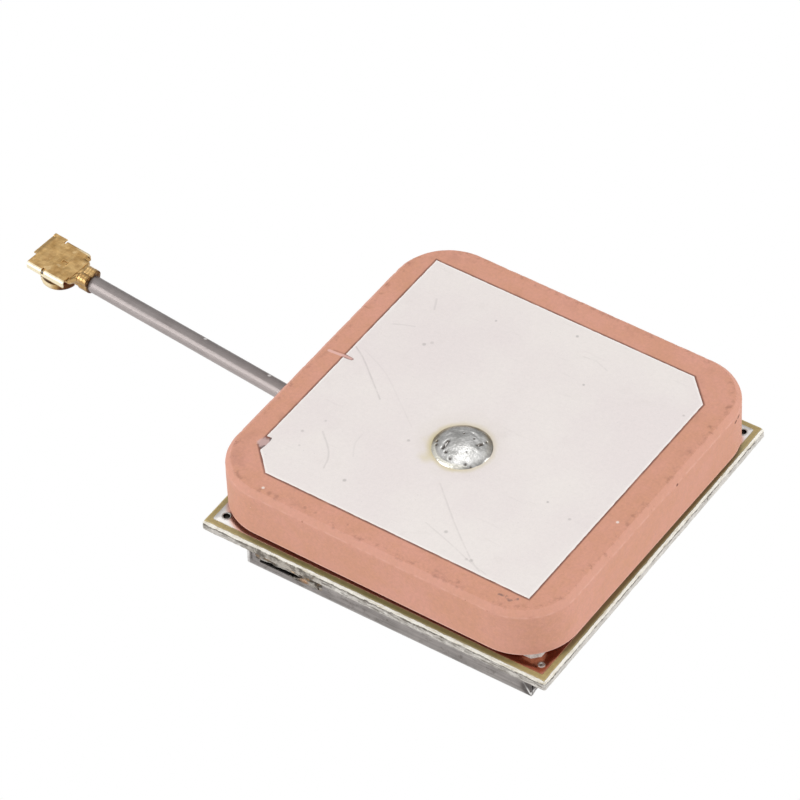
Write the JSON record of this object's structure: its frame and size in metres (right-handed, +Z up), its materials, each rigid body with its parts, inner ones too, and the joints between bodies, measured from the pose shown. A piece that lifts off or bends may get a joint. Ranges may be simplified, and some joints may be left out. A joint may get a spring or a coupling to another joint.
{
  "type": "gps antenna module",
  "caption": "Square ceramic patch antenna with a silver face on a small amplifier board with a screening can below, and a short coaxial pigtail ending in a miniature push-on plug.",
  "frame": {"origin": "middle of the circuit board, on the underside of the screening can that the module rests on", "axes": "+Z up through the ceramic patch, +X away from the pigtail, the pigtail leaves on the -X side"},
  "size_m": [0.049, 0.0253, 0.0075],
  "materials": {
    "ceramic": "matt, fired salmon pink with small dark specks",
    "silver_print": "matt off-white fired silver with fine scratches",
    "tinned_pin": "bright tin",
    "solder": "uneven bright solder with flux traces",
    "foam_tape": "matt white foam",
    "laminate": "olive glass-fibre laminate, pale rough cut edges",
    "tinned_copper": "mirror-like tinned copper",
    "tinplate": "dull brushed tinplate",
    "black_epoxy": "matt moulded",
    "white_ceramic": "matt",
    "tan_ceramic": "satin",
    "grey_ferrite": "matt",
    "grey_jacket": "satin grey fluoropolymer",
    "white_polymer": "satin",
    "gold_plate": "gold-plated stamping, satin"
  },
  "bodies": {
    "root": {"ceramic_block": "ceramic", "top_electrode": "silver_print", "ground_electrode": "silver_print", "feed_pin": "tinned_pin", "feed_solder": "solder", "adhesive_pad": "foam_tape", "board": "laminate", "top_ground_plane": "tinned_copper", "bottom_ground_plane": "tinned_copper", "signal_traces": "tinned_copper", "corner_vias": "tinned_copper", "pin_solder": "solder", "shield_can": "tinplate", "can_solder": "solder", "amplifier_bodies": "black_epoxy", "amplifier_leads": "tinned_pin", "filter_body": "white_ceramic", "filter_lid": "gold_plate", "capacitor_bodies": "tan_ceramic", "inductor_bodies": "grey_ferrite", "resistor_bodies": "black_epoxy", "chip_end_caps": "tinned_pin", "coax_jacket": "grey_jacket", "coax_braid": "tinned_pin", "coax_dielectric": "white_polymer", "coax_core": "tinned_copper", "braid_solder": "solder", "core_solder": "solder", "plug_shell": "gold_plate", "plug_insulator": "white_polymer", "plug_contact": "gold_plate"}
  },
  "joints": []
}
